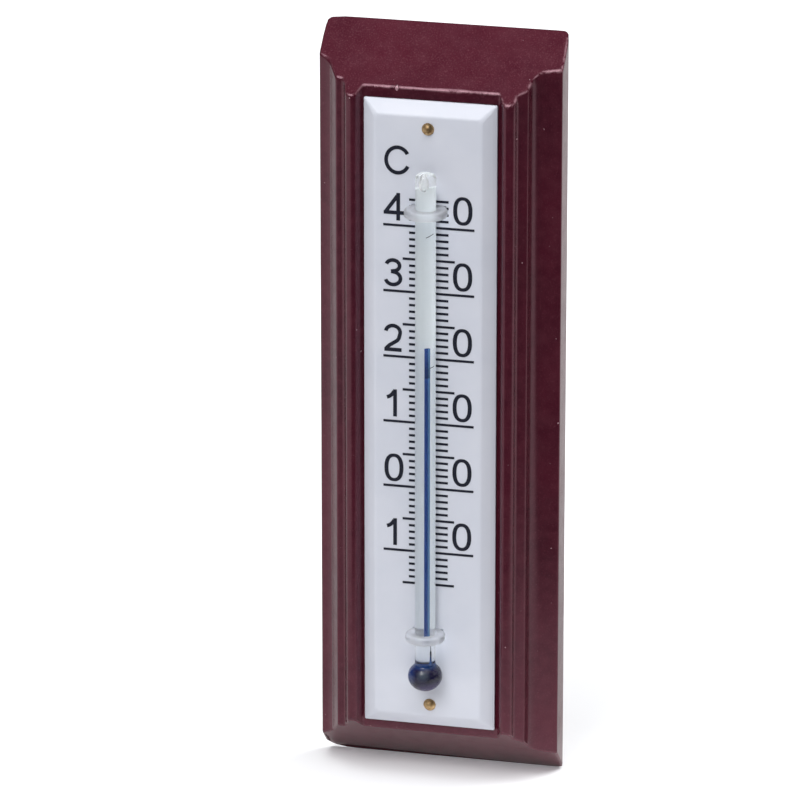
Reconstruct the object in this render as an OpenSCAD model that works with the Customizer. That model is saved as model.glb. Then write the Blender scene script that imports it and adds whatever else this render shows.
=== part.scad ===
// Indoor wall thermometer: a painted moulded board, a bevelled scale plate and a spirit-filled glass stem
// that two clear collars hold in the plate. All sizes are in millimetres.
// It hangs upright with its front towards -Y. The origin is the middle of the hanger's round hole,
// on the plane of the board's back. Heights in the modules count up from the board's lower edge.

/* [Board] */
// Height of the board
board_h = 150; // [130:1:190]
// Width of the board
board_w = 47.5; // [46:0.5:60]
// Thickness of the wood under the scale plate
floor_t = 10.75; // [10:0.25:14]
// Offset of the channel from the middle of the board
channel_shift = -0.7; // [-1.2:0.1:1.2]
// Slope of the upper bevel, in degrees from level
top_bevel = 43.8; // [35:0.1:50]
// Slope of the lower bevel, in degrees from level
bottom_bevel = 41.2; // [35:0.1:50]
// Radius along the two long edges of the back
back_round = 1.2; // [0.5:0.1:3.5]

/* [Moulding] */
// Height of the bead above the floor of the channel
bead_rise = 1.85; // [1:0.05:2.5]
// Width of the slope from the channel's floor to the bead's crest
bead_inner_w = 1.6; // [1:0.05:2]
// Width of the round from the bead's crest to its outer wall
bead_outer_w = 1.65; // [1:0.05:2]
// Height of the bead's outer wall above the ledge
bead_wall_h = 0.95; // [0.4:0.05:1]
// Lean of the bead's outer wall
bead_lean = 0.2; // [0:0.05:0.4]
// Width of the ledge outside the bead
ledge_w = 1.9; // [1:0.05:2.2]
// Fall of the ledge towards the cove
ledge_fall = 0.95; // [0.2:0.05:1.2]
// Width of the cove
cove_w = 2.7; // [1.5:0.05:3]
// Depth of the cove
cove_d = 3.05; // [1.5:0.05:3.5]
// Fall of the flat lip outside the cove
lip_fall = 0.35; // [0:0.05:0.6]

/* [Scale plate] */
// Width of the plate
plate_w = 26; // [23:0.5:27]
// Thickness of the plate
plate_t = 2.5; // [2.2:0.1:4]
// Height of the square rim under the plate's bevel
rim_h = 0.5; // [0.2:0.1:1]
// Width of the bevel round the plate
plate_bevel = 2.55; // [1:0.05:2.8]
// Gap between the plate and each side wall of the channel
side_gap = 0.35; // [0.1:0.05:0.6]
// Gap between the plate and the upper end of the channel
top_gap = 2.1; // [0.5:0.1:4]
// Gap between the plate and the lower end of the channel
bottom_gap = 1.7; // [0.5:0.1:4]
// Width of the gate mark on the plate's lower edge
gate_w = 2.2; // [1:0.1:4]
// How far the gate mark stands out
gate_h = 0.2; // [0.1:0.05:0.4]

/* [Scale] */
// Lowest line, in degrees Celsius
lowest_degrees = -15; // [-19:1:-5]
// Highest line, in degrees Celsius
highest_degrees = 44; // [41:1:45]
// Height of the lowest line above the plate's lower edge
scale_base = 29.95; // [28:0.05:32]
// Depth of the highest line below the plate's upper edge
scale_head = 19.06; // [18:0.02:21]
// Offset of the print and the stem from the middle of the plate
print_shift = 0.2; // [-0.5:0.1:0.5]
// Thickness of a printed line
line_t = 0.46; // [0.2:0.02:0.6]
// Length of the lines at the tens
long_line = 17.8; // [16:0.1:20]
// Length of the lines at the fives
middle_line = 10.2; // [8.5:0.1:12]
// Length of the other lines
short_line = 7.7; // [5:0.1:8.4]
// Height of the straight digits
digit_h = 5.45; // [4:0.05:6.5]
// Width of the digits
digit_w = 3.75; // [3:0.05:4.2]
// How far round digits reach past straight ones
round_over = 0.08; // [0:0.01:0.15]
// Thickness of the digits' strokes
stroke_t = 0.72; // [0.4:0.02:0.8]
// Height of the digits above their line
digit_lift = 0.95; // [0.7:0.05:1.4]
// Distance of the left digits' outer sides from the middle of the print
digit_reach = 8.7; // [8.2:0.1:9.2]
// Distance of the right digits' outer sides from the middle of the print
zero_reach = 8.5; // [8.2:0.1:9.2]
// Height of the unit letter above the highest tens line
letter_lift = 10.03; // [8:0.05:11]
// Height of the unit letter
letter_h = 5.75; // [4:0.05:6.5]
// Width of the oval that the unit letter is part of
letter_w = 5.2; // [4:0.05:6]
// Thickness of the printed ink
ink_t = 0.06; // [0.04:0.01:0.1]

/* [Glass stem] */
// Diameter of the stem
tube_d = 4; // [3.4:0.1:5]
// Gap between the stem and the face of the plate
stem_gap = 0.5; // [0.4:0.05:0.8]
// Width of the bulb
bulb_d = 6.7; // [5.6:0.1:7.4]
// Height of the bulb
bulb_h = 6; // [5.2:0.1:7]
// Wall of the bulb
bulb_wall = 0.4; // [0.3:0.05:0.6]
// Depth of the bulb's middle below the lowest line
bulb_drop = 18; // [16:0.1:20]
// Height of the sealed tip above the highest line
tip_over = 6.35; // [6:0.05:7.5]
// Height of the round on the sealed tip
tip_round = 1.4; // [1:0.1:2]
// Diameter of the bore
bore_d = 0.6; // [0.4:0.02:0.8]
// Offset of the bore to the right of the stem's middle
bore_side = 0.15; // [0:0.05:0.3]
// Offset of the bore behind the stem's middle
bore_back = 0.25; // [0:0.05:0.3]
// Diameter of the expansion chamber
chamber_d = 1.3; // [1:0.1:1.8]
// Offset of the expansion chamber to the left of the stem's middle
chamber_side = 0.25; // [0:0.05:0.3]
// Height of the expansion chamber
chamber_h = 2.9; // [2:0.1:3.2]
// Glass above the expansion chamber
tip_wall = 0.8; // [0.5:0.1:1.2]
// Width of the white stripe in the back of the stem
stripe_w = 2.4; // [1.6:0.1:2.4]
// Thickness of the white stripe
stripe_t = 0.3; // [0.2:0.05:0.35]
// Depth of the stripe's front behind the stem's middle
stripe_back = 1.15; // [1:0.05:1.2]

/* [Spirit] */
// Temperature that the thermometer shows at rest, in degrees Celsius
shown_degrees = 22.3; // [0:0.1:40]
// Length of the thread's upper stretch, which moves as one
head_len = 6; // [3:0.5:9]
// Gap between the spirit and the glass
spirit_gap = 0.03; // [0.02:0.01:0.05]

/* [Collars] */
// Diameter of the upper collar
upper_collar_d = 8.3; // [7:0.1:8.8]
// Diameter of the lower collar
lower_collar_d = 7.65; // [6.5:0.05:8.8]
// Thickness of the collars
collar_t = 1.5; // [0.8:0.1:1.8]
// Depth of the upper collar's middle below the tip
upper_collar_drop = 7.95; // [7.5:0.05:9]
// Height of the lower collar's middle above the bulb's middle
lower_collar_lift = 8.1; // [6:0.1:9]
// Gap between a collar and the walls of its slot
slot_gap = 0.1; // [0.05:0.01:0.15]
// Gap between a collar and the stem
collar_gap = 0.02; // [0.01:0.01:0.05]

/* [Pins] */
// Diameter of a pin's round head
pin_head_d = 2.45; // [1.8:0.05:3.2]
// Height of a pin's round head
pin_head_h = 0.85; // [0.5:0.05:0.9]
// Diameter of a pin's shank
pin_d = 1.2; // [0.8:0.05:1.5]
// Length of a pin under its head
pin_len = 6; // [4:0.1:7]
// Gap between a pin and its hole in the plate
pin_gap = 0.1; // [0.05:0.05:0.2]
// Distance of the pins from the plate's ends
pin_inset = 4.95; // [4:0.05:5.5]
// Offset of the lower pin from the middle of the plate
lower_pin_shift = 0.5; // [0:0.1:1]
// How much wider a pin or tack is than its hole in the wood
wood_grip = 0.04; // [0.02:0.01:0.06]

/* [Hanger] */
// Depth of the hanger's round hole below the board's upper edge
hang_drop = 36; // [32:0.5:60]
// Width of the hanger plate
hanger_w = 12; // [11:0.5:14]
// Thickness of the hanger plate
hanger_t = 1; // [0.8:0.1:1.4]
// Diameter of the hanger's round hole
hang_hole_d = 6.4; // [6:0.1:7]
// Width of the hanger's slot
hang_slot_w = 3; // [2.4:0.1:3.4]
// Length of the slot, from the round hole's middle to that of its end
hang_slot_len = 6.5; // [5.5:0.5:8]
// Distance from the hole or slot to the hanger's ends
hanger_end = 10; // [8.5:0.1:12]
// Distance of the tacks from the hanger's ends
tack_inset = 3.6; // [3:0.1:4]
// Diameter of a tack's flat head
tack_head_d = 3.2; // [2.8:0.1:3.6]
// Diameter of a tack's shank
tack_d = 1.4; // [1.2:0.1:1.6]
// Whole length of a tack
tack_len = 6; // [4:0.5:6.5]
// Depth of a tack's tapered head
tack_head_h = 0.7; // [0.5:0.05:0.75]
// Gap round the tacks in the hanger plate
tack_gap = 0.05; // [0.02:0.01:0.1]
// Gap between the hanger plate and its recess
hanger_gap = 0.1; // [0.05:0.05:0.3]
// Width of the hollow behind the hanger plate
well_w = 9; // [8:0.1:10]
// Depth of that hollow from the board's back
well_d = 7; // [6:0.1:7.5]

/* [Calibration marks] */
// Temperature at the lower mark, in degrees Celsius
lower_mark = 20; // [15:1:25]
// Temperature at the upper mark, in degrees Celsius
upper_mark = 40; // [35:1:42]
// Depth of the marks' middle below their printed line
mark_drop = 0.4; // [0:0.05:0.6]
// Thickness of a mark's line
mark_t = 0.12; // [0.06:0.02:0.2]
// How far a mark's ink stands out
mark_ink_t = 0.03; // [0.02:0.01:0.05]

/* [Hidden] */

// Smoothness of round pieces, and the points on an outline's curves
$fn = 64;
curve_steps = 12;
ring_steps = 48;
// How square the zeros are: 2 gives an ellipse
oval_power = 2.35;
// How far a cut runs past the face that it opens, or a clipping shape past what it clips
overrun = 1;

// Colours
paint_colour = [0.30, 0.10, 0.14];
plastic_colour = [0.86, 0.88, 0.90];
ink_colour = [0.12, 0.13, 0.18];
glass_colour = [0.80, 0.88, 0.86, 0.45];
opal_colour = [0.90, 0.93, 0.90];
spirit_colour = [0.10, 0.20, 0.50];
collar_colour = [0.88, 0.90, 0.92, 0.6];
brass_colour = [0.70, 0.55, 0.28];
zinc_colour = [0.70, 0.71, 0.72];

// The channel and what lies in it
channel_half = plate_w / 2 + side_gap;
channel_top = board_h - floor_t * tan(top_bevel);
channel_bottom = floor_t * tan(bottom_bevel);
plate_top = channel_top - top_gap;
plate_bottom = channel_bottom + bottom_gap;
face = floor_t + plate_t;

// The moulding, as distances from the middle of the channel and from the back
crest_at = channel_half + bead_inner_w;
wall_at = crest_at + bead_outer_w;
ledge_at = wall_at + bead_lean;
cove_at = ledge_at + ledge_w;
lip_at = cove_at + cove_w;
crest = floor_t + bead_rise;
ledge_end = floor_t - ledge_fall;
lip = ledge_end - cove_d;
lip_edge = lip - lip_fall;

// The scale
print_x = channel_shift + print_shift;
first_line = plate_bottom + scale_base;
last_line = plate_top - scale_head;
degree_pitch = (last_line - first_line) / (highest_degrees - lowest_degrees);
top_tens = floor(highest_degrees / 10) * 10;
low_tens = ceil(lowest_degrees / 10) * 10;

// The stem
tube_r = tube_d / 2;
stem_p = face + stem_gap + tube_r;
bulb_z = first_line - bulb_drop;
tip_z = last_line + tip_over;
chamber_z = tip_z - tip_wall - chamber_h / 2;
upper_collar_z = tip_z - upper_collar_drop;
lower_collar_z = bulb_z + lower_collar_lift;
bulb_rise = bulb_h / 2;
cavity_r = bulb_d / 2 - bulb_wall;
cavity_rise = bulb_rise - bulb_wall;
neck_fillet = 0.5;
chamber_x = print_x - chamber_side;
bore_x = print_x + bore_side;
bore_p = stem_p - bore_back;
spirit_r = bore_d / 2 - spirit_gap;
thread_bottom = bulb_z + cavity_rise;
head_bottom = degree_height(shown_degrees) - head_len;
meniscus_dip = spirit_r * 0.7;

// The calibration marks
lower_mark_span = [38, 68];
lower_mark_rise = 0.2;
upper_mark_span = [15, 60];
upper_mark_rise = 0.65;

// The hanger
hang_height = board_h - hang_drop;
hanger_low = -hang_hole_d / 2 - hanger_end;
hanger_high = hang_slot_len + hang_slot_w / 2 + hanger_end;
tack_heights = [hanger_low + tack_inset, hanger_high - tack_inset];
pin_places = [
    [channel_shift, plate_top - pin_inset],
    [channel_shift + lower_pin_shift, plate_bottom + pin_inset]
];

// Height of a temperature's line above the board's lower edge
function degree_height(degrees) = first_line + (degrees - lowest_degrees) * degree_pitch;

// Points on part of an ellipse
function arc(centre, radii, from, to, steps = curve_steps) = [
    for (i = [0 : steps])
        let (turn = from + (to - from) * i / steps)
            [centre.x + radii.x * cos(turn), centre.y + radii.y * sin(turn)]
];

// Points round an oval whose sides and ends are flatter than an ellipse's
function oval(radii) = [
    for (i = [0 : ring_steps - 1])
        let (turn = 360 * i / ring_steps)
            [radii.x * flattened(cos(turn)), radii.y * flattened(sin(turn))]
];

function flattened(share) = sign(share) * pow(abs(share), 2 / oval_power);

function unit(v) = v / norm(v);

// Direction of a path at one of its points
function heading(path, i) = unit(path[min(i + 1, len(path) - 1)] - path[max(i - 1, 0)]);

// One long side of a stroke along a path
function stroke_side(path, reach) = [
    for (i = [0 : len(path) - 1])
        let (way = heading(path, i))
            [path[i].x - way.y * reach, path[i].y + way.x * reach]
];

function backwards(list) = [for (i = [len(list) - 1 : -1 : 0]) list[i]];

function flipped(list) = [for (point = list) [-point.x, point.y]];

// Outline of one half of the board, out from the middle of the back to the floor of the channel
function moulding(edge) = concat(
    arc([edge - back_round, back_round], [back_round, back_round], -90, 0),
    [[edge, lip_edge]],
    arc([lip_at, ledge_end], [cove_w, cove_d], 270, 180),
    [[ledge_at, floor_t]],
    arc([crest_at, floor_t + bead_wall_h], [bead_outer_w, bead_rise - bead_wall_h], 0, 90),
    arc([crest_at, crest - bead_inner_w / 2], [bead_inner_w / 2, bead_inner_w / 2], 100, 150, 4),
    [[channel_half, floor_t]]
);

// Turns (X, distance from the back) into the model's frame
function to_plan(list) = [for (point = list) [point.x + channel_shift, -point.y]];

module on_board() {
    translate([0, 0, -hang_height]) children();
}

// Raises a front view, drawn as (X, height), from one distance in front of the back to another
module raised(from, to) {
    translate([0, -from, 0]) rotate([90, 0, 0]) linear_extrude(height = to - from) children();
}

// A side view, drawn as (distance from the back, height), across the whole width
module across(width) {
    rotate([90, 0, -90]) linear_extrude(height = width, center = true) children();
}

// A round bar towards the front from one distance in front of the back to another
module peg(x, height, from, to, diameter, end_diameter = undef) {
    translate([x, -from, height])
        rotate([90, 0, 0])
            cylinder(h = to - from, d1 = diameter, d2 = is_undef(end_diameter) ? diameter : end_diameter);
}

module stem_axis(height) {
    translate([print_x, -stem_p, height]) children();
}

module stroke(path, width = stroke_t) {
    polygon(concat(stroke_side(path, width / 2), backwards(stroke_side(path, -width / 2))));
}

// The board
module board_blank() {
    right = moulding(board_w / 2 - channel_shift);
    left = flipped(moulding(board_w / 2 + channel_shift));
    linear_extrude(height = board_h) polygon(to_plan(concat(right, backwards(left))));
}

module between_bevels() {
    deep = crest + overrun;
    across(board_w + 2 * overrun)
        polygon([
            [0, 0],
            [deep, deep * tan(bottom_bevel)],
            [deep, board_h - deep * tan(top_bevel)],
            [0, board_h]
        ]);
}

module hanger_outline(gap = 0) {
    square_low = hanger_low + hanger_w / 2;
    square_high = hanger_high - hanger_w / 2;
    translate([-hanger_w / 2 - gap, square_low]) square([hanger_w + 2 * gap, square_high - square_low]);
    for (height = [square_low, square_high])
        translate([0, height]) circle(d = hanger_w + 2 * gap);
}

module slot_outline(width, length) {
    translate([-width / 2, 0]) square([width, length]);
    for (height = [0, length])
        translate([0, height]) circle(d = width);
}

module backboard() {
    color(paint_colour)
        difference() {
            on_board()
                intersection() {
                    board_blank();
                    between_bevels();
                }
            raised(-overrun, hanger_t) hanger_outline(hanger_gap);
            raised(-overrun, well_d) slot_outline(well_w, hang_slot_len);
            for (height = tack_heights)
                peg(0, height, 0, tack_len, tack_d - wood_grip);
            on_board()
                for (place = pin_places)
                    peg(place.x, place.y, face - pin_len, face, pin_d - wood_grip);
        }
}

// The plate
module plate_section(width) {
    polygon([
        [-width / 2, 0],
        [width / 2, 0],
        [width / 2, rim_h],
        [width / 2 - plate_bevel, plate_t],
        [plate_bevel - width / 2, plate_t],
        [-width / 2, rim_h]
    ]);
}

module plate_blank() {
    plate_h = plate_top - plate_bottom;
    translate([channel_shift, -floor_t, plate_bottom + plate_h / 2])
        intersection() {
            linear_extrude(height = plate_h, center = true)
                mirror([0, 1])
                    plate_section(plate_w);
            across(plate_w)
                rotate(-90)
                    mirror([1, 0])
                        plate_section(plate_h);
        }
}

module gate_mark() {
    raised(floor_t, floor_t + rim_h)
        translate([channel_shift - gate_w / 2, plate_bottom - gate_h])
            square([gate_w, 2 * gate_h]);
}

module collar_slot(height, diameter) {
    stem_axis(height - collar_t / 2 - slot_gap)
        cylinder(h = collar_t + 2 * slot_gap, d = diameter + 2 * slot_gap);
}

module collar_slots() {
    collar_slot(upper_collar_z, upper_collar_d);
    collar_slot(lower_collar_z, lower_collar_d);
}

module scale_plate() {
    color(plastic_colour)
        on_board()
            difference() {
                union() {
                    plate_blank();
                    gate_mark();
                }
                for (place = pin_places)
                    peg(place.x, place.y, floor_t - overrun, face + overrun, pin_d + 2 * pin_gap);
                collar_slots();
                stem_axis(bulb_z) sphere(d = bulb_d + 2 * slot_gap);
            }
}

// The print
function line_length(degrees) =
    degrees % 10 == 0 ? long_line : degrees % 5 == 0 ? middle_line : short_line;

module graduation_marks() {
    color(ink_colour)
        on_board()
            difference() {
                raised(face, face + ink_t)
                    for (degrees = [lowest_degrees : highest_degrees])
                        translate([print_x, degree_height(degrees)])
                            square([line_length(degrees), line_t], center = true);
                collar_slots();
            }
}

// The digits are drawn in a box one unit high, and enlarged to the height of the digits
module glyph_stroke(path) {
    stroke([for (point = path) point * digit_h]);
}

// The zero is an oval with flattened sides, and its stroke is heavier at the sides
module digit_zero() {
    side_weight = 1.08;
    end_weight = 0.88;
    reach = [digit_w / 2, digit_h / 2 + round_over];
    translate([digit_w, digit_h] / 2)
        difference() {
            polygon(oval(reach));
            polygon(oval(reach - [side_weight, end_weight] * stroke_t));
        }
}

module digit_one() {
    half = stroke_t / digit_h / 2;
    stem = 0.385;
    glyph_stroke([[stem, 0], [stem, 1]]);
    glyph_stroke(concat([[stem - half / 2, 0.93]], arc([stem - 0.35, 1.05], [0.32, 0.35], -38, -80, 6)));
}

module digit_two() {
    half = stroke_t / digit_h / 2;
    over = round_over / digit_h;
    glyph_stroke(concat(
        arc([0.31, 0.71], [0.26, 0.29 + over - half], 172, -18, 20),
        arc([0.3, 0.62], [0.245, 0.28], -12, -52, 6),
        [[0.18, 0.22]],
        arc([0.31, 0.02], [0.25, 0.22], 150, 174, 3)
    ));
    glyph_stroke([[0, half], [0.62, half]]);
}

module digit_three() {
    half = stroke_t / digit_h / 2;
    over = round_over / digit_h;
    waist = 0.535;
    glyph_stroke(concat(
        arc([0.31, 0.75], [0.24, 0.25 + over - half], 165, -82, 20),
        [[0.24, waist]]
    ));
    glyph_stroke(concat(
        [[0.24, waist]],
        arc([0.31, 0.285], [0.27, 0.285 + over - half], 82, -165, 22)
    ));
}

module digit_four() {
    half = stroke_t / digit_h / 2;
    bar = 0.28;
    stem = 0.5;
    glyph_stroke([[stem, 0], [stem, 1]]);
    glyph_stroke([[-0.02, bar], [0.7, bar]]);
    glyph_stroke([[half / 2, bar], [stem, 1 - half]]);
}

module digit(value) {
    if (value == 0) digit_zero();
    if (value == 1) digit_one();
    if (value == 2) digit_two();
    if (value == 3) digit_three();
    if (value == 4) digit_four();
}

module scale_numerals() {
    color(ink_colour)
        on_board()
            raised(face, face + ink_t)
                for (degrees = [low_tens : 10 : top_tens]) {
                    height = degree_height(degrees) + digit_lift;
                    translate([print_x - digit_reach, height]) digit(abs(degrees / 10));
                    translate([print_x + zero_reach - digit_w, height]) digit_zero();
                }
}

// The unit letter is an oval stroke that is open from the lower to the upper angle of its mouth
module unit_letter() {
    mouth = [-27, 31];
    middle = [letter_w, letter_h] / 2;
    color(ink_colour)
        on_board()
            raised(face, face + ink_t)
                translate([print_x - digit_reach, degree_height(top_tens) + letter_lift])
                    stroke(arc(middle, middle - [stroke_t, stroke_t] / 2, mouth[1], 360 + mouth[0], 30));
}

// The stem
module glass_stem() {
    neck_turn = acos((tube_r + neck_fillet) / (bulb_d / 2));
    neck_start = bulb_rise * sin(neck_turn);
    color(glass_colour)
        on_board()
            difference() {
                stem_axis(0)
                    rotate_extrude()
                        polygon(concat(
                            arc([0, bulb_z], [bulb_d / 2, bulb_rise], -90, neck_turn, 20),
                            [[tube_r, bulb_z + neck_start + neck_fillet]],
                            arc([0, tip_z - tip_round], [tube_r, tip_round], 0, 90)
                        ));
                stem_axis(0)
                    rotate_extrude()
                        polygon(arc([0, bulb_z], [cavity_r, cavity_rise], -90, 90, 24));
                translate([chamber_x, -stem_p, 0])
                    rotate_extrude()
                        polygon(arc([0, chamber_z], [chamber_d / 2, chamber_h / 2], -90, 90, 16));
                translate([bore_x, -bore_p, bulb_z]) cylinder(h = chamber_z - bulb_z, d = bore_d);
                stripe();
            }
}

// The stripe starts above the lower collar and ends below the expansion chamber
module stripe() {
    stripe_low = lower_collar_z + collar_t;
    stripe_high = chamber_z - chamber_h / 2 - tip_wall;
    stem_axis(0)
        translate([-stripe_w / 2, stripe_back, stripe_low])
            cube([stripe_w, stripe_t, stripe_high - stripe_low]);
}

module opal_stripe() {
    color(opal_colour) on_board() stripe();
}

// The spirit
module bulb_spirit() {
    color(spirit_colour)
        on_board()
            stem_axis(0)
                rotate_extrude()
                    polygon(arc([0, bulb_z], [cavity_r - spirit_gap, cavity_rise - spirit_gap], -90, 90, 24));
}

module spirit_column() {
    color(spirit_colour)
        on_board()
            translate([bore_x, -bore_p, thread_bottom])
                cylinder(h = head_bottom - spirit_gap - thread_bottom, r = spirit_r);
}

// The head ends in a hollow meniscus
module spirit_head() {
    color(spirit_colour)
        on_board()
            translate([bore_x, -bore_p, head_bottom])
                difference() {
                    cylinder(h = head_len, r = spirit_r);
                    translate([0, 0, head_len + spirit_r - meniscus_dip]) sphere(r = spirit_r);
                }
}

// The collars
module collar(height, diameter) {
    stem_axis(height - collar_t / 2)
        difference() {
            cylinder(h = collar_t, d = diameter);
            translate([0, 0, -overrun]) cylinder(h = collar_t + 2 * overrun, r = tube_r + collar_gap);
        }
}

module upper_collar() {
    color(collar_colour) on_board() collar(upper_collar_z, upper_collar_d);
}

module lower_collar() {
    color(collar_colour) on_board() collar(lower_collar_z, lower_collar_d);
}

// The pins that hold the plate
module pin(place) {
    dome_r = (pin_head_d * pin_head_d / 4 + pin_head_h * pin_head_h) / (2 * pin_head_h);
    peg(place.x, place.y, face - pin_len, face, pin_d);
    intersection() {
        translate([place.x, -(face + pin_head_h - dome_r), place.y]) sphere(r = dome_r);
        peg(place.x, place.y, face, face + pin_head_h + overrun, 2 * pin_head_d);
    }
}

module plate_pins() {
    color(brass_colour)
        on_board()
            for (place = pin_places)
                pin(place);
}

// The marks on the glass: each climbs a little between two angles to the right of the stem's front
module calibration_mark(degrees, span, rise) {
    reach = tube_r * sin((span[1] - span[0]) / 2);
    stem_axis(degree_height(degrees) - mark_drop)
        rotate([0, 0, (span[0] + span[1]) / 2])
            intersection() {
                difference() {
                    cylinder(h = tube_d, r = tube_r + mark_ink_t, center = true);
                    cylinder(h = 2 * tube_d, r = tube_r, center = true);
                }
                translate([0, -tube_r, 0])
                    rotate([0, -atan(rise / 2 / reach), 0])
                        cube([2 * norm([reach, rise / 2]), tube_r, mark_t], center = true);
            }
}

module calibration_marks() {
    color(ink_colour)
        on_board() {
            calibration_mark(lower_mark, lower_mark_span, lower_mark_rise);
            calibration_mark(upper_mark, upper_mark_span, upper_mark_rise);
        }
}

// The hanger
module hanger_plate() {
    color(zinc_colour)
        difference() {
            raised(0, hanger_t) hanger_outline();
            raised(-overrun, hanger_t + overrun) slot_outline(hang_slot_w, hang_slot_len);
            peg(0, 0, -overrun, hanger_t + overrun, hang_hole_d);
            for (height = tack_heights) {
                peg(0, height, -overrun, hanger_t + overrun, tack_d + 2 * tack_gap);
                peg(0, height, 0, tack_head_h, tack_head_d + 2 * tack_gap, tack_d + 2 * tack_gap);
            }
        }
}

module tack(height) {
    peg(0, height, 0, tack_head_h, tack_head_d, tack_d);
    peg(0, height, tack_head_h, tack_len - tack_d, tack_d);
    peg(0, height, tack_len - tack_d, tack_len, tack_d, tack_d / 10);
}

module hanger_tacks() {
    color(zinc_colour)
        for (height = tack_heights)
            tack(height);
}

backboard();
scale_plate();
graduation_marks();
scale_numerals();
unit_letter();
glass_stem();
opal_stripe();
bulb_spirit();
spirit_column();
spirit_head();
upper_collar();
lower_collar();
plate_pins();
calibration_marks();
hanger_plate();
hanger_tacks();
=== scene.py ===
import math

import bmesh
import bpy
import numpy as np
from mathutils import Matrix, Vector, noise

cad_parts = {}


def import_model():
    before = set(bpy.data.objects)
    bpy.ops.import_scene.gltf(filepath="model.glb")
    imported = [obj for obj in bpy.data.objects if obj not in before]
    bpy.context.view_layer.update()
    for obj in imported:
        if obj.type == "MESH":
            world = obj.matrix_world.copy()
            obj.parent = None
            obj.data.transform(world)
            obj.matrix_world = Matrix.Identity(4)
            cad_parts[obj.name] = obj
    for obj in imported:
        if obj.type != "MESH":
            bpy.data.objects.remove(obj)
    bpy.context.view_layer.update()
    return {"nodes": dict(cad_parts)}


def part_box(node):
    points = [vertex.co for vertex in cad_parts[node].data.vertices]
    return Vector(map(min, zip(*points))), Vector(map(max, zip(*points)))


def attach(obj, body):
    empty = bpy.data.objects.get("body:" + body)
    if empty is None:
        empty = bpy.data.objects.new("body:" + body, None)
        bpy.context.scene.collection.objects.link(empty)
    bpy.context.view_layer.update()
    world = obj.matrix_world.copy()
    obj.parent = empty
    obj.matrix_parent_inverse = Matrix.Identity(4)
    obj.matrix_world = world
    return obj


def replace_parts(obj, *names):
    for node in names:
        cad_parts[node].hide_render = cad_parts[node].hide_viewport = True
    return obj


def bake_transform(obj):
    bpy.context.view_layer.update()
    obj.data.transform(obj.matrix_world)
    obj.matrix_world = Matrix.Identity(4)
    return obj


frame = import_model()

# One millimetre, in the scene's metres
MM = 0.001

# The board's moulding, in millimetres: distances from the middle of the channel and from the back
BOARD_W = 47.5
FLOOR_T = 10.75
CHANNEL_SHIFT = -0.7
TOP_BEVEL = math.radians(43.8)
BOTTOM_BEVEL = math.radians(41.2)
BACK_ROUND = 1.2
CHANNEL_HALF = 13.35
BEAD_RISE = 1.85
BEAD_INNER_W = 1.6
BEAD_OUTER_W = 1.65
BEAD_WALL_H = 0.95
BEAD_LEAN = 0.2
LEDGE_W = 1.9
LEDGE_FALL = 0.95
COVE_W = 2.7
COVE_D = 3.05
LIP_FALL = 0.35
RIGHT_LIP_ROUND = 0.1
LEFT_LIP_ROUND = 0.4

# The left lip is tilted and runs down in a ramp to a flat ledge: how far in from the board's edge, and how
# far in front of the lip's own edge
LEFT_LIP = ((1.4, 0.35), (2.4, 0.95), (3.3, 2.1))
LEFT_LEDGE = (4.2, 5.6)
LEFT_LEDGE_RISE = 0.1

# The moulding's soft edges, and the points of its outline: their spacing at first, and the longest stretch
# and widest turn in degrees that are left between two of them
OUTLINE_SOFTNESS = 0.28
OUTLINE_SPACING = 0.06
LONGEST_STRETCH = 2.4
WIDEST_TURN = 5

# The rounds where the moulding meets the bevels: most of them, the worn one on the right and those at the
# back, with how uneven they are
EDGE_ROUND = 0.45
WORN_ROUND = 0.8
BACK_EDGE_ROUND = 0.12
WEAR = 0.4
WEAR_PER_MM = 0.35
WEAR_SEED = {"low": 3.1, "between": 7.7, "high": 7.7}

# How wavy the board's faces are, and how fast the waves follow each other across, in depth and upwards
WAVE = 0.05
WAVES_PER_MM = (0.12, 0.3, 0.09)

# The left corners begin at this place across the board. Over the given depth from the back the lower one
# is lifted and the upper one drops, and the lower one is full round a place a little further in front.
CORNER_AT = -19.0
CORNER_DEPTH = 3.0
CORNER_LIFT = 0.8
CORNER_DROP = 0.45
CORNER_BULGE = 0.35
BULGE_AT = 1.2

# How much paint is rubbed off the upper edge's round, which also carries a painted highlight, at turns in
# degrees from the moulding to the bevel.
# On the left it is only a share, which grows to all of it over a stretch from a place across the board.
RUB_AND_HIGHLIGHT = {68: 0.05, 45: 0.85, 22: 0.3}
RUB_AND_HIGHLIGHT_LEFT = 0.15
RUB_AND_HIGHLIGHT_FROM = -20
RUB_AND_HIGHLIGHT_OVER = 10

# The scale plate
PLATE_BEVEL = 2.55
RIM_H = 0.5
RIM_ROUND = 0.2
FACE_ROUND = 1.1
PLATE_CORNER = 0.3
PLATE_CORNER_GROWTH = 0.25
GATE_W = 2.2
GATE_H = 0.2
GATE_T = 0.45
GATE_ROUND = 0.08
SLOT_GAP = 0.1

# The seat of the hanger plate and the well behind it
SEAT_GAP = 0.1
WELL_HALF = 4.5
WELL_SLOT = 6.5
WELL_DEPTH = 7.0

# A knock in the channel's upper edge, shown as a dent with a painted highlight and painted shade beside it
CHIP_X = -7.4
CHIP_W = 0.9
CHIP_H = 1.4

# The stem
TUBE_R = 2.0
TIP_ROUND = 1.4
TIP_SQUARENESS = 0.8
NECK_FILLET = 0.9
NECK_STRETCH = 1.4
BULB_RISE = 3.0
BULB_WALL = 0.4
CHAMBER_R = 0.65
CHAMBER_H = 2.9
CHAMBER_SIDE = 0.25
TIP_WALL = 0.8

# The white ribbon, with its half width in degrees round the tube
RIBBON_OUTER = 1.62
RIBBON_INNER = 1.32
RIBBON_SPREAD = 62
RIBBON_TOP_SPREAD = 8
RIBBON_FADE = 1.5

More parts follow.
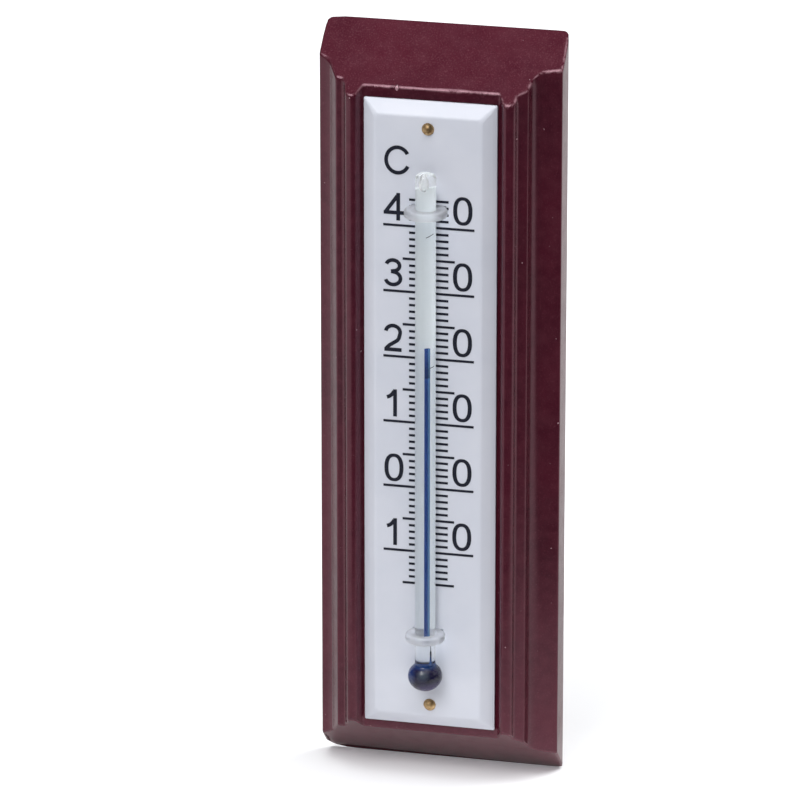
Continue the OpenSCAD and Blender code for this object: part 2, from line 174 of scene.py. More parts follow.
# The spirit: the wide thread ends in the lower collar, and a finer passage leads on into the bulb
THREAD_R = 0.34
THREAD_END = 30.4
PASSAGE_SIDE = 0.5
MENISCUS_DIP = 0.16

# The collars' rims, and their gap round the tube
COLLAR_ROUND = 0.45
COLLAR_GAP = 0.02

# A ring this far from each end of a smooth shape keeps its shading even
END_RING = 0.05

# Camera, fitted to the edges of the board in the photograph
VIEW_AZIMUTH = math.radians(14.0)
VIEW_ELEVATION = math.radians(18.91)
FOCAL_PIXELS = 6381.7
IMAGE_PIXELS = 800
SENSOR_MM = 36.0
CAMERA_DISTANCE = 1.2347
AIM_HEIGHT = 74.91 * MM
AIM_RIGHT = 9.155 * MM
AIM_UP = 0.553 * MM

# Directions
UP = Vector((0, 0, 1))
RIGHT = Vector((1, 0, 0))
BACK = Vector((0, 1, 0))

board_low, board_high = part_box("backboard")
plate_low, plate_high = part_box("scale_plate")
stem_low, stem_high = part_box("glass_stem")
thread_low, thread_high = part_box("spirit_column")

# Places worked out from the solids, in millimetres
BASE = board_low.z / MM
BOARD_H = (board_high.z - board_low.z) / MM
STEM_X = (stem_low.x + stem_high.x) / 2 / MM
STEM_Y = (stem_low.y + stem_high.y) / 2 / MM
TIP_Z = stem_high.z / MM
BULB_R = (stem_high.x - stem_low.x) / 2 / MM
BULB_Z = stem_low.z / MM + BULB_RISE
BORE_X = (thread_low.x + thread_high.x) / 2 / MM
BORE_Y = (thread_low.y + thread_high.y) / 2 / MM


# Node materials

class Shader:
    """A node material with one Principled shader, built step by step."""

    def __init__(self, name):
        self.material = bpy.data.materials.new(name)
        self.material.use_nodes = True
        self.tree = self.material.node_tree
        self.shader = self.tree.nodes["Principled BSDF"]
        self.place = self.tree.nodes.new("ShaderNodeTexCoord").outputs["Object"]

    def set(self, **values):
        for socket, value in values.items():
            self.shader.inputs[socket.replace("_", " ")].default_value = value

    def node(self, kind, **values):
        made = self.tree.nodes.new(kind)
        for name, value in values.items():
            setattr(made, name, value)
        return made

    def link(self, source, target):
        self.tree.links.new(source, target)

    def feed(self, source, socket):
        self.link(source, self.shader.inputs[socket])

    def noise(self, per_metre, detail, stretch=(1, 1, 1)):
        mapping = self.node("ShaderNodeMapping")
        mapping.inputs["Scale"].default_value = stretch
        self.link(self.place, mapping.inputs["Vector"])
        texture = self.node("ShaderNodeTexNoise")
        texture.inputs["Scale"].default_value = per_metre
        texture.inputs["Detail"].default_value = detail
        texture.inputs["Roughness"].default_value = 0.55
        self.link(mapping.outputs["Vector"], texture.inputs["Vector"])
        return texture.outputs["Fac"]

    def ramp(self, source, stops):
        """Maps a value to colours (or greys), given as (position, colour) stops."""
        ramp = self.node("ShaderNodeValToRGB")
        band = ramp.color_ramp
        while len(band.elements) < len(stops):
            band.elements.new(0.5)
        for element, (position, colour) in zip(band.elements, stops):
            element.position = position
            element.color = colour if isinstance(colour, tuple) else (colour, colour, colour, 1)
        self.link(source, ramp.inputs["Fac"])
        return ramp.outputs["Color"]

    def mix(self, share, first, second):
        mix = self.node("ShaderNodeMix", data_type="RGBA")
        for socket, value in ((mix.inputs[0], share), (mix.inputs[6], first), (mix.inputs[7], second)):
            if isinstance(value, (float, tuple)):
                socket.default_value = value
            else:
                self.link(value, socket)
        return mix.outputs[2]

    def bump(self, source, height_mm, strength=1.0, below=None):
        bump = self.node("ShaderNodeBump")
        bump.inputs["Strength"].default_value = strength
        bump.inputs["Distance"].default_value = height_mm * MM
        self.link(source, bump.inputs["Height"])
        if below is not None:
            self.link(below, bump.inputs["Normal"])
        return bump.outputs["Normal"]

    def spot(self, centre, radii, full=0.5):
        """1 round a point of the object, falling to 0 at the given distances, all in millimetres."""
        mapping = self.node("ShaderNodeMapping", vector_type="TEXTURE")
        mapping.inputs["Location"].default_value = Vector(centre) * MM
        mapping.inputs["Scale"].default_value = Vector(radii) * MM
        self.link(self.place, mapping.inputs["Vector"])
        fade = self.node("ShaderNodeTexGradient", gradient_type="SPHERICAL")
        self.link(mapping.outputs["Vector"], fade.inputs["Vector"])
        return self.ramp(fade.outputs["Fac"], [(0.0, 0.0), (full, 1.0)])

    def along(self, way, start, end):
        """0 to 1 between two places along a direction of the object, in millimetres."""
        return self.share(self.place, way, start * MM, end * MM)

    def share(self, vector, way, start, end):
        """0 to 1 as a vector's reach in a direction goes from the start to the end."""
        reach = self.node("ShaderNodeVectorMath", operation="DOT_PRODUCT")
        reach.inputs[1].default_value = way
        self.link(vector, reach.inputs[0])
        share = self.node("ShaderNodeMapRange")
        share.inputs["From Min"].default_value = start
        share.inputs["From Max"].default_value = end
        self.link(reach.outputs["Value"], share.inputs["Value"])
        return share.outputs["Result"]

    def maths(self, operation, first, second):
        made = self.node("ShaderNodeMath", operation=operation)
        self.link(first, made.inputs[0])
        self.link(second, made.inputs[1])
        return made.outputs["Value"]

    def ray(self, name):
        return self.node("ShaderNodeLightPath").outputs[name]

    def let_light_through(self, tint):
        """Lamps reach what lies behind the glass."""
        clear = self.node("ShaderNodeBsdfTransparent")
        clear.inputs["Color"].default_value = tint
        mix = self.node("ShaderNodeMixShader")
        output = self.tree.nodes["Material Output"]
        self.link(self.ray("Is Shadow Ray"), mix.inputs[0])
        self.link(self.shader.outputs["BSDF"], mix.inputs[1])
        self.link(clear.outputs["BSDF"], mix.inputs[2])
        self.link(mix.outputs["Shader"], output.inputs["Surface"])


def rgb(red, green, blue):
    """A linear colour from screen values of 0 to 255."""
    def linear(value):
        value /= 255
        return value / 12.92 if value <= 0.04045 else ((value + 0.055) / 1.055) ** 2.4
    return (linear(red), linear(green), linear(blue), 1.0)


def paint_material():
    """Dark red paint, with pores on the cut ends, rubbed edges that carry a painted highlight, and a knock:
    a dent with a painted highlight and painted shade beside it.
    """
    made = Shader("mahogany_paint")
    made.set(IOR=1.5, Specular_IOR_Level=0.64, Specular_Tint=(1.0, 0.62, 0.72, 1))
    clouds = made.noise(60, 4.0)
    specks = made.noise(3300, 2.0)
    grain = made.noise(700, 4.0, stretch=(1, 1, 0.06))
    facing = made.node("ShaderNodeNewGeometry").outputs["Normal"]
    cut_end = made.maths("MAXIMUM", made.share(facing, UP, 0.35, 0.55), made.share(facing, -UP, 0.35, 0.55))
    along_grain = made.ramp(clouds, [(0.3, rgb(62, 16, 30)), (0.7, rgb(76, 20, 36))])
    across_grain = made.ramp(clouds, [(0.3, rgb(72, 24, 38)), (0.7, rgb(86, 28, 44))])
    base = made.mix(cut_end, along_grain, across_grain)
    blotches = made.ramp(made.noise(420, 3.0), [(0.35, 0.0), (0.75, 0.5)])
    few_pores = made.ramp(specks, [(0.56, 0.0), (0.80, 0.5)])
    many_pores = made.ramp(specks, [(0.52, 0.0), (0.76, 1.0)])
    pores = made.mix(cut_end, few_pores, many_pores)
    dust = made.ramp(made.noise(1300, 1.0), [(0.80, 0.0), (0.82, 1.0)])
    edge = made.node("ShaderNodeAttribute", attribute_name="rub_and_highlight").outputs["Fac"]
    scuffs_and_sheen = made.ramp(made.noise(900, 3.0), [(0.38, 0.0), (0.55, 1.0)])
    colour = made.mix(blotches, base, rgb(90, 38, 50))
    colour = made.mix(pores, colour, rgb(102, 52, 63))
    # The pale line on the upper edges: partly rubbed paint, partly a painted highlight.
    colour = made.mix(made.maths("MULTIPLY", edge, scuffs_and_sheen), colour, rgb(162, 122, 132))
    arris_z = BASE + BOARD_H - FLOOR_T * math.tan(TOP_BEVEL)
    # The knock: a painted highlight on a dent, and painted shade just left of it.
    chip_dent_and_highlight = made.spot((CHIP_X, -FLOOR_T, arris_z), (CHIP_W / 2, CHIP_H / 2, CHIP_H / 2), 0.4)
    colour = made.mix(chip_dent_and_highlight, colour, rgb(176, 138, 148))
    chip_painted_shade = made.spot((CHIP_X - CHIP_W, -FLOOR_T, arris_z), (CHIP_W / 2, CHIP_H / 2, CHIP_H / 2), 0.4)
    colour = made.mix(chip_painted_shade, colour, rgb(60, 18, 30))
    made.feed(made.mix(dust, colour, rgb(176, 140, 148)), "Base Color")
    made.feed(made.ramp(made.noise(350, 3.0), [(0.3, 0.16), (0.7, 0.27)]), "Roughness")
    ripple = made.bump(made.noise(2400, 2.0), 0.012)
    dented = made.bump(chip_dent_and_highlight, -0.2, below=ripple)
    made.feed(made.bump(grain, 0.008, below=dented), "Normal")
    return made.material


def plastic_material():
    made = Shader("white_plastic")
    made.set(IOR=1.49, Specular_IOR_Level=0.4)
    tone = made.ramp(made.noise(90, 3.0), [(0.3, rgb(222, 226, 238)), (0.7, rgb(229, 232, 243))])
    made.feed(tone, "Base Color")
    made.feed(made.ramp(made.noise(800, 3.0), [(0.3, 0.34), (0.7, 0.46)]), "Roughness")
    made.feed(made.bump(made.noise(1800, 2.0), 0.004), "Normal")
    return made.material


def ink_material():
    made = Shader("printed_ink")
    made.set(Specular_IOR_Level=0.3)
    tone = made.ramp(made.noise(3000, 2.0), [(0.3, rgb(20, 23, 36)), (0.75, rgb(38, 41, 57))])
    made.feed(tone, "Base Color")
    made.feed(made.ramp(made.noise(2000, 2.0), [(0.3, 0.5), (0.7, 0.7)]), "Roughness")
    made.feed(made.bump(made.noise(4000, 2.0), 0.004), "Normal")
    return made.material


def glass_material():
    """Clear glass, a little milky at the tip and dull on the bulb."""
    made = Shader("stem_glass")
    made.set(IOR=1.5, Base_Color=(0.98, 0.99, 0.988, 1))
    near_tip = made.along(UP, TIP_Z - 7, TIP_Z - 3)
    made.feed(made.ramp(near_tip, [(0.0, 0.99), (1.0, 0.86)]), "Transmission Weight")
    streaks = made.noise(420, 3.0, stretch=(1, 1, 0.05))
    below_neck = made.along(UP, BULB_Z + 5, BULB_Z + 3)
    polish = made.ramp(streaks, [(0.3, (0.02, 0.02, 0.02, 1)), (0.7, (0.07, 0.07, 0.07, 1))])
    polish = made.mix(near_tip, polish, (0.15, 0.15, 0.15, 1))
    round_bulb = made.along(UP, BULB_Z + 3.2, BULB_Z + 2.4)
    made.feed(made.mix(round_bulb, polish, (0.19, 0.19, 0.19, 1)), "Roughness")
    made.feed(made.ramp(below_neck, [(0.0, 0.5), (1.0, 0.06)]), "Specular IOR Level")
    made.feed(made.bump(streaks, 0.01, 0.4), "Normal")
    made.let_light_through((0.98, 0.99, 0.985, 1))
    return made.material


def opal_material():
    made = Shader("opal_glass")
    made.set(Roughness=0.5)
    streaks = made.noise(500, 3.0, stretch=(1, 1, 0.04))
    made.feed(made.ramp(streaks, [(0.3, rgb(220, 227, 233)), (0.7, rgb(232, 238, 243))]), "Base Color")
    made.feed(made.bump(streaks, 0.01), "Normal")
    return made.material


def thread_material():
    """Dark blue, with painted light along the thread's two sides, the right one most."""
    made = Shader("blue_spirit")
    made.set(Roughness=0.3, IOR=1.36, Specular_IOR_Level=0.0)
    across = made.along(RIGHT, BORE_X - THREAD_R, BORE_X + THREAD_R)
    # Painted light: the thread is lighter at both sides, most on the right.
    painted_light_sides = made.ramp(across, [
        (0.0, rgb(96, 112, 168)), (0.2, rgb(34, 54, 116)), (0.72, rgb(36, 60, 120)), (0.9, rgb(98, 142, 186))
    ])
    swirl = made.ramp(made.noise(300, 2.0), [(0.3, 0.0), (0.8, 0.25)])
    made.feed(made.mix(swirl, painted_light_sides, rgb(60, 92, 146)), "Base Color")
    made.feed(made.bump(made.noise(900, 2.0), 0.003), "Normal")
    return made.material


def bulb_spirit_material():
    """Navy, with painted light in the tints that the thick spirit shows: teal left, purple below, blue
    above, and a grey painted reflection in front.
    """
    made = Shader("bulb_spirit")
    made.set(Roughness=0.3, IOR=1.36, Specular_IOR_Level=0.0)
    colour = made.ramp(made.noise(420, 3.0), [(0.3, rgb(8, 4, 38)), (0.7, rgb(20, 12, 62))])
    # Painted light over the navy, and a painted reflection: the grey patch in front.
    painted_light_tints = (
        ((-2.9, -1.0, 0.3), (2.0, 4.0, 3.0), rgb(34, 58, 120)),
        ((1.7, -1.6, -2.5), (4.0, 3.8, 2.3), rgb(52, 20, 112)),
        ((0.2, -2.8, 0.9), (1.6, 1.6, 1.2), rgb(68, 76, 90)),
        ((0.0, 0.0, 2.9), (3.6, 3.6, 1.7), rgb(14, 70, 134)),
    )
    for (right, back, up), radii, tint in painted_light_tints:
        here = made.spot((STEM_X + right, STEM_Y + back, BULB_Z + up), radii, 0.8)
        colour = made.mix(here, colour, tint)
    made.feed(colour, "Base Color")
    made.feed(made.bump(made.noise(900, 2.0), 0.003), "Normal")
    return made.material


def collar_material():
    made = Shader("clear_collar")
    made.set(IOR=1.4, Transmission_Weight=0.87, Base_Color=(0.90, 0.91, 0.94, 1))
    made.feed(made.ramp(made.noise(900, 2.0), [(0.3, 0.38), (0.7, 0.48)]), "Roughness")
    made.feed(made.bump(made.noise(900, 2.0), 0.01), "Normal")
    made.let_light_through((0.9, 0.92, 0.94, 1))
    return made.material


def brass_material():
    made = Shader("aged_brass")
    made.set(Metallic=1.0)
    tarnish = made.noise(1500, 4.0)
    made.feed(made.ramp(tarnish, [(0.35, rgb(212, 184, 140)), (0.65, rgb(166, 132, 92))]), "Base Color")
    made.feed(made.ramp(tarnish, [(0.3, 0.46), (0.7, 0.6)]), "Roughness")
    made.feed(made.bump(made.noise(2500, 2.0), 0.01), "Normal")
    return made.material


def zinc_material():
    made = Shader("zinc_plating")
    made.set(Metallic=1.0)
    spangle = made.noise(700, 4.0)
    made.feed(made.ramp(spangle, [(0.3, rgb(150, 152, 156)), (0.7, rgb(196, 197, 198))]), "Base Color")
    made.feed(made.ramp(spangle, [(0.3, 0.3), (0.7, 0.5)]), "Roughness")
    made.feed(made.bump(made.noise(1600, 2.0, stretch=(1, 1, 0.1)), 0.01), "Normal")
    return made.material


PAINT = paint_material()
PLASTIC = plastic_material()
INK = ink_material()
GLASS = glass_material()
OPAL = opal_material()
THREAD = thread_material()
BULB_SPIRIT = bulb_spirit_material()
COLLAR = collar_material()
BRASS = brass_material()
ZINC = zinc_material()


# Meshes

def arc(centre, radii, start, end, steps=14):
    """Points on part of an ellipse, with the turns in degrees."""
    turns = np.radians(np.linspace(start, end, steps + 1))
    return [(centre[0] + radii[0] * math.cos(t), centre[1] + radii[1] * math.sin(t)) for t in turns]


def finish_piece(name, verts, faces, material, slot, even=True):
    """A mesh object from points in millimetres, shaded smooth with weighted normals."""
    mesh = bpy.data.meshes.new(name)
    mesh.from_pydata([Vector(v) * MM for v in verts], [], faces)
    mesh.validate()
    piece = bpy.data.objects.new(name, mesh)
    bpy.context.scene.collection.objects.link(piece)
    mesh.materials.append(material)
    mesh.polygons.foreach_set("use_smooth", [True] * len(mesh.polygons))
    if even:
        piece.modifiers.new("even_normals", "WEIGHTED_NORMAL").weight = 50
    return piece


def ring_faces(rings, around, closed_ends=True):
    """Quads between rings of equally many points, with a face on each end."""
    faces = []
    for ring in range(rings - 1):
        for step in range(around):
            following = (step + 1) % around
            faces.append((
                ring * around + step,
                ring * around + following,
                (ring + 1) * around + following,
                (ring + 1) * around + step,
            ))
    if closed_ends:
        faces.append(tuple(range(around))[::-1])
        faces.append(tuple(range((rings - 1) * around, rings * around)))
    return faces


def turned(profile, x, y, around=64):
    """Points and faces of a shape turned about an upright axis, from (radius, height) points."""
    verts = []
    for radius, height in profile:
        for step in range(around):
            turn = 2 * math.pi * step / around
            verts.append((x + radius * math.cos(turn), y + radius * math.sin(turn), height))
    return verts, ring_faces(len(profile), around)


def joined(shapes):
    """Points and faces of several shapes as one."""
    verts, faces = [], []
    for more_verts, more_faces in shapes:
        faces += [tuple(len(verts) + index for index in face) for face in more_faces]
        verts += more_verts
    return verts, faces


def cut(piece, cutter):
    """Takes the cutter's shape out of the piece, and removes the cutter."""
    modifier = piece.modifiers.new("cut", "BOOLEAN")
    modifier.operation = "DIFFERENCE"
    modifier.solver = "EXACT"
    modifier.object = cutter
    while piece.modifiers[0] != modifier:
        bpy.context.view_layer.objects.active = piece
        bpy.ops.object.modifier_move_up(modifier="cut")
    with bpy.context.temp_override(object=piece, active_object=piece, selected_objects=[piece]):
        bpy.ops.object.modifier_apply(modifier="cut")
    bpy.data.objects.remove(cutter)


def moulding(edge, lip_round, tilted_lip=False):
    """One half of the board's outline, from the back to the floor of the channel."""
    crest_at = CHANNEL_HALF + BEAD_INNER_W
    wall_at = crest_at + BEAD_OUTER_W
    ledge_at = wall_at + BEAD_LEAN
    lip_at = ledge_at + LEDGE_W + COVE_W
    ledge_end = FLOOR_T - LEDGE_FALL
    half_inner = BEAD_INNER_W / 2
    lip_top = ledge_end - COVE_D - LIP_FALL
    cove = arc((lip_at, ledge_end), (COVE_W, COVE_D), 270, 180)
    if tilted_lip:
        cove = [(edge - inwards, lip_top + rise) for inwards, rise in LEFT_LIP]
        cove += [(edge - inwards, ledge_end + LEFT_LEDGE_RISE) for inwards in LEFT_LEDGE]
    return (
        arc((edge - BACK_ROUND, BACK_ROUND), (BACK_ROUND, BACK_ROUND), -90, 0)
        + arc((edge - lip_round, lip_top - lip_round), (lip_round, lip_round), 0, 90, 8)
        + cove
        + [(ledge_at, FLOOR_T)]
        + arc((crest_at, FLOOR_T + BEAD_WALL_H), (BEAD_OUTER_W, BEAD_RISE - BEAD_WALL_H), 0, 90)
        + arc((crest_at, FLOOR_T + BEAD_RISE - half_inner), (half_inner, half_inner), 100, 150, 4)
        + [(CHANNEL_HALF, FLOOR_T)]
    )


def softened_outline(points):
    """A closed outline with round corners and few points on straight stretches, and its outward ways."""
    spacing, softness = OUTLINE_SPACING, OUTLINE_SOFTNESS
    points = np.array(points)
    closed = np.vstack([points, points[:1]])
    lengths = np.r_[0, np.cumsum(np.linalg.norm(np.diff(closed, axis=0), axis=1))]
    count = int(lengths[-1] / spacing)
    at = np.linspace(0, lengths[-1], count, endpoint=False)
    dense = np.stack([np.interp(at, lengths, closed[:, axis]) for axis in (0, 1)], axis=1)
    reach = int(4 * softness / spacing)
    weights = np.exp(-0.5 * (np.arange(-reach, reach + 1) * spacing / softness) ** 2)
    weights /= weights.sum()
    soft = sum(w * np.roll(dense, shift, axis=0) for w, shift in zip(weights, range(-reach, reach + 1)))
    ways = np.roll(soft, -1, axis=0) - np.roll(soft, 1, axis=0)
    headings = np.unwrap(np.arctan2(ways[:, 1], ways[:, 0]))
    kept = [0]
    for index in range(1, count):
        turned_enough = abs(headings[index] - headings[kept[-1]]) > math.radians(WIDEST_TURN)
        far_enough = index - kept[-1] >= int(LONGEST_STRETCH / spacing)
        if turned_enough or far_enough:
            kept.append(index)
    ways = ways / np.linalg.norm(ways, axis=1)[:, None]
    return soft[kept], np.stack([ways[kept, 1], -ways[kept, 0]], axis=1)


def bevel_heights(x, depth, edge_round):
    """The heights at which the rounds of the lower and the upper bevel's edges end."""
    corner = max(0.0, (CORNER_AT - x) / (BOARD_W / 2 + CORNER_AT))
    at_back = corner * corner * max(0.0, 1 - depth / CORNER_DEPTH)
    in_front = corner * corner * max(0.0, 1 - (depth / CORNER_DEPTH - BULGE_AT) ** 2)
    low = depth * math.tan(BOTTOM_BEVEL) + edge_round + CORNER_LIFT * at_back - CORNER_BULGE * in_front
    high = BOARD_H - depth * math.tan(TOP_BEVEL) - edge_round - CORNER_DROP * at_back
    return low, high


def board_piece():
    """The board: its outline carried from bevel to bevel, with uneven rounds and slightly wavy faces."""
    right = moulding(BOARD_W / 2 - CHANNEL_SHIFT, RIGHT_LIP_ROUND)
    left = moulding(BOARD_W / 2 + CHANNEL_SHIFT, LEFT_LIP_ROUND, tilted_lip=True)
    mirrored = [(-x, depth) for x, depth in left[::-1]]
    outline, outward = softened_outline(right + mirrored)
    outline[:, 0] += CHANNEL_SHIFT
    turns = (90, *RUB_AND_HIGHLIGHT, 0)
    inner = np.linspace(0, 1, 110)[1:-1]
    steps = (
        [("low", t) for t in turns]
        + [("between", share) for share in inner]
        + [("high", t) for t in turns[::-1]]
    )
    verts, rub_and_highlight = [], []
    for kind, value in steps:
        turn = 0 if kind == "between" else math.radians(value)
        for (x, depth), (out_x, out_depth) in zip(outline, outward):
            behind = out_depth < -0.5
            worn_side = kind != "low" and out_x > 0.9
            wear = 1 + WEAR * noise.noise(Vector((x * WEAR_PER_MM, depth * WEAR_PER_MM, WEAR_SEED[kind])))
            round_here = BACK_EDGE_ROUND if behind else WORN_ROUND if worn_side else EDGE_ROUND * wear
            inset = 0 if kind == "between" else round_here * (1 - math.cos(turn))
            spare = 0 if kind == "between" else round_here * (1 - math.sin(turn))
            x_in, depth_in = x - out_x * inset, depth - out_depth * inset
            low, high = bevel_heights(x, depth_in, round_here)
            if kind == "low":
                height = low - round_here + spare
            elif kind == "high":
                height = high + round_here - spare
            else:
                height = low + (high - low) * value
            if not behind:
                place = [way * rate for way, rate in zip((x, depth, height), WAVES_PER_MM)]
                sway = 0.5 + 0.5 * noise.noise(Vector(place))
                x_in -= out_x * WAVE * sway
                depth_in -= out_depth * WAVE * sway
            verts.append((x_in, -depth_in, BASE + height))
            # Marks the upper edge's round for rubbed paint and a painted highlight, less of it on the left.
            on_edge = kind == "high" and out_depth > -0.3
            share = min(1.0, max(RUB_AND_HIGHLIGHT_LEFT, (x - RUB_AND_HIGHLIGHT_FROM) / RUB_AND_HIGHLIGHT_OVER))
            rub_and_highlight.append(RUB_AND_HIGHLIGHT.get(value, 0.0) * share if on_edge else 0.0)
    faces = ring_faces(len(steps), len(outline))
    piece = finish_piece("board_wood", verts, faces, PAINT, "painted_wood")
    piece.data.attributes.new("rub_and_highlight", "FLOAT", "POINT").data.foreach_set("value", rub_and_highlight)
    cut_hanger_seat(piece)
    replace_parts(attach(piece, "root"), "backboard")


def stadium(x, low, high, width, steps=24):
    """A round-ended upright outline, as (x, height) points."""
    radius = width / 2
    return arc((x, high - radius), (radius, radius), 0, 180, steps) + arc(
        (x, low + radius), (radius, radius), 180, 360, steps
    )


def block(outline, front, back):
    """Points and faces of an (x, height) outline between two depths."""
    verts = [(x, y, z) for y in (back, front) for x, z in outline]
    return verts, ring_faces(2, len(outline))


def cut_hanger_seat(piece):
    """Cuts the seat of the hanger plate into the board's back, and the well for the nail's head."""
    low, high = (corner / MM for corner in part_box("hanger_plate"))
    past_seat, past_well = 1.0, 0.5
    seat = stadium(0, low.z - SEAT_GAP, high.z + SEAT_GAP, high.x - low.x + 2 * SEAT_GAP)
    verts, faces = block(seat, low.y, past_seat)
    cut(piece, finish_piece("seat_cutter", verts, faces, PAINT, "painted_wood", even=False))
    well = stadium(0, -WELL_HALF, WELL_SLOT + WELL_HALF, 2 * WELL_HALF)
    verts, faces = block(well, -WELL_DEPTH, past_well)
    cut(piece, finish_piece("well_cutter", verts, faces, PAINT, "painted_wood", even=False))


def rectangle(half_width, half_height, corner, steps=4):
    """A rectangle with rounded corners, as (x, height) points."""
    points = []
    for turn, side_x, side_z in ((0, 1, 1), (90, -1, 1), (180, -1, -1), (270, 1, -1)):
        centre = (side_x * (half_width - corner), side_z * (half_height - corner))
        points += arc(centre, (corner, corner), turn, turn + 90, steps)
    return points


def plate_section(thickness):
    """The plate's edge from the back to the face, as (inset, height) points."""
    slope = math.atan2(thickness - RIM_H, PLATE_BEVEL)
    slope_turn = 90 + math.degrees(slope)
    rim_reach = RIM_ROUND * math.tan(math.pi / 4 - slope / 2)
    face_at = PLATE_BEVEL + FACE_ROUND * math.tan(slope / 2)
    face_margin = 0.3
    return (
        [(0.0, 0.0)]
        + arc((RIM_ROUND, RIM_H - rim_reach), (RIM_ROUND, RIM_ROUND), 180, slope_turn, 5)
        + arc((face_at, thickness - FACE_ROUND), (FACE_ROUND, FACE_ROUND), slope_turn, 90, 8)
        + [(face_at + face_margin, thickness)]
    )


def plate_piece():
    """The plate with its bevel and soft edges, the gate mark, and the slots for the collars and the bulb."""
    low, high = plate_low / MM, plate_high / MM
    middle_x = (low.x + high.x) / 2
    middle_z = (low.z + GATE_H + high.z) / 2
    half_width = (high.x - low.x) / 2
    half_height = (high.z - low.z - GATE_H) / 2
    section = plate_section(high.y - low.y)
    corner_steps = 6
    verts = []
    for inset, height in section:
        corner = PLATE_CORNER + PLATE_CORNER_GROWTH * inset
        for x, z in rectangle(half_width - inset, half_height - inset, corner, corner_steps):
            verts.append((middle_x + x, high.y - height, middle_z + z))
    plate = (verts, ring_faces(len(section), 4 * (corner_steps + 1)))
    gate = [(middle_x + x, low.z + GATE_H + z) for x, z in rectangle(GATE_W / 2, GATE_H, GATE_ROUND)]
    shapes = [plate, block(gate, high.y - GATE_T, high.y)]
    piece = finish_piece("plate_plastic", *joined(shapes), PLASTIC, "white_plastic")
    for node in ("upper_collar", "lower_collar"):
        collar_low, collar_high = (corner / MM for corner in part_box(node))
        radius = (collar_high.x - collar_low.x) / 2 + SLOT_GAP
        bottom, top = collar_low.z - SLOT_GAP, collar_high.z + SLOT_GAP
        verts, faces = turned([(radius, bottom), (radius, top)], STEM_X, STEM_Y, 96)
        cut(piece, finish_piece("slot_cutter", verts, faces, PLASTIC, "white_plastic", even=False))
    seat = arc((0, BULB_Z), (BULB_R + SLOT_GAP, BULB_R + SLOT_GAP), -88, 88, 40)
    verts, faces = turned(seat, STEM_X, STEM_Y, 96)
    cut(piece, finish_piece("seat_cutter", verts, faces, PLASTIC, "white_plastic", even=False))
    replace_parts(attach(piece, "root"), "scale_plate")


def stem_piece():
    """The glass: bulb, neck, tube and squarish tip, with the expansion chamber as a hollow inside it."""
    neck_turn = math.degrees(math.acos((TUBE_R + NECK_FILLET) / BULB_R))
    neck_z = BULB_Z + BULB_RISE * math.sin(math.radians(neck_turn)) + NECK_FILLET * NECK_STRETCH
    shoulder_z = TIP_Z - TIP_ROUND
    above_neck = 4
    outside = arc((0, BULB_Z), (BULB_R, BULB_RISE), -89, neck_turn, 30)
    outside += arc((TUBE_R + NECK_FILLET, neck_z), (NECK_FILLET, NECK_FILLET), 235, 180, 6)
    outside += [(TUBE_R, neck_z + END_RING), (TUBE_R, neck_z + above_neck), (TUBE_R, shoulder_z - END_RING)]
    for turn in np.radians(np.linspace(0, 88, 16)):
        across = math.cos(turn) ** TIP_SQUARENESS
        rise = math.sin(turn) ** TIP_SQUARENESS
        outside.append((TUBE_R * across, shoulder_z + TIP_ROUND * rise))
    chamber_z = TIP_Z - TIP_WALL - CHAMBER_H / 2
    chamber = arc((0, chamber_z), (CHAMBER_R, CHAMBER_H / 2), -88, 88, 20)
    hollow_verts, hollow_faces = turned(chamber, STEM_X - CHAMBER_SIDE, STEM_Y, 32)
    inside_out = [face[::-1] for face in hollow_faces]
    verts, faces = joined([turned(outside, STEM_X, STEM_Y), (hollow_verts, inside_out)])
    piece = finish_piece("stem_tube", verts, faces, GLASS, "clear_glass", even=False)
    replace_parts(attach(piece, "root"), "glass_stem")


def stripe_piece():
    """The white ribbon, bent to follow the back of the tube."""
    low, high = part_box("opal_stripe")
    bottom, top = low.z / MM, high.z / MM
    rings = [(z, RIBBON_SPREAD) for z in (bottom, bottom + END_RING, top - END_RING)]
    for turn in np.radians(np.linspace(0, 90, 8)):
        half = RIBBON_TOP_SPREAD + (RIBBON_SPREAD - RIBBON_TOP_SPREAD) * math.cos(turn)
        rings.append((top + RIBBON_FADE * math.sin(turn), half))
    verts = []
    for z, half in rings:
        section = arc((0, 0), (RIBBON_OUTER, RIBBON_OUTER), 90 - half, 90 + half, 16)
        section += arc((0, 0), (RIBBON_INNER, RIBBON_INNER), 90 + half, 90 - half, 16)
        verts += [(STEM_X + sx, STEM_Y + sy, z) for sx, sy in section]
    faces = ring_faces(len(rings), len(section))
    piece = finish_piece("opal_ribbon", verts, faces, OPAL, "opal_glass", even=False)
    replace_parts(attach(piece, "root"), "opal_stripe")


def pool_piece():
    """The spirit in the bulb, dished under the neck, with the fine passage that leads up to the thread."""
    wetting = 0.02
    cavity = (BULB_R - BULB_WALL + wetting, BULB_RISE - BULB_WALL + wetting)
    pool = arc((0, BULB_Z), cavity, -89, 58, 36)
    pool += [(1.2, BULB_Z + 1.95), (0.8, BULB_Z + 1.8), (0.05, BULB_Z + 1.75)]
    passage = [
        (0.34, BULB_Z + 1.2), (0.30, BULB_Z + 2.2), (0.17, BULB_Z + 2.9), (0.12, BULB_Z + 3.6),
        (0.11, BULB_Z + 5.0), (0.05, BULB_Z + 5.4), (0.04, BASE + THREAD_END + 0.1),
    ]
    shapes = [turned(pool, STEM_X, STEM_Y), turned(passage, BORE_X + PASSAGE_SIDE, BORE_Y, 16)]
    piece = finish_piece("spirit_pool", *joined(shapes), BULB_SPIRIT, "blue_spirit", even=False)
    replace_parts(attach(piece, "root"), "bulb_spirit")


